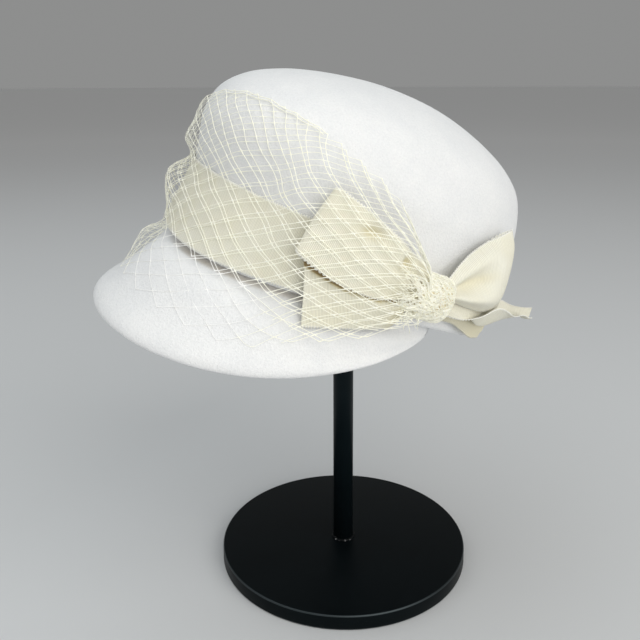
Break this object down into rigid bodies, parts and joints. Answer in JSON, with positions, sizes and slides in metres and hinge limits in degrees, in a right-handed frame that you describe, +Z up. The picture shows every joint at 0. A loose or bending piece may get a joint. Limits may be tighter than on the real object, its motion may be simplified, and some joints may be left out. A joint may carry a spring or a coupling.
{
  "type": "wool felt peaked cap on a display stand",
  "caption": "Soft peaked wool felt cap with a ribbon band, a side bow and a gathered net veil, held up on a plain round-based stand.",
  "frame": {"origin": "centre of the stand base's underside, on the pole's axis", "axes": "+Z up along the pole; -Y the way the cap's peak points; +X to the wearer's left, the bow's side"},
  "size_m": [0.2011, 0.2555, 0.2986],
  "materials": {
    "felt_white": "matt wool felt",
    "ribbon_cream": "ribbed ribbon, slight sheen",
    "net_cream": "soft matt net",
    "stand_black": "satin black",
    "rest_black": "matt black"
  },
  "bodies": {
    "root": {"stand_base": "stand_black", "stand_pole": "stand_black", "stand_rest": "rest_black", "crown": "felt_white", "peak": "felt_white", "ribbon_band": "ribbon_cream", "veil": "net_cream", "bow_upper_loop": "ribbon_cream", "bow_front_tail": "ribbon_cream", "bow_rear_loop": "ribbon_cream", "bow_rear_tail": "ribbon_cream", "bow_under_loop": "ribbon_cream", "bow_knot": "net_cream"}
  },
  "joints": []
}
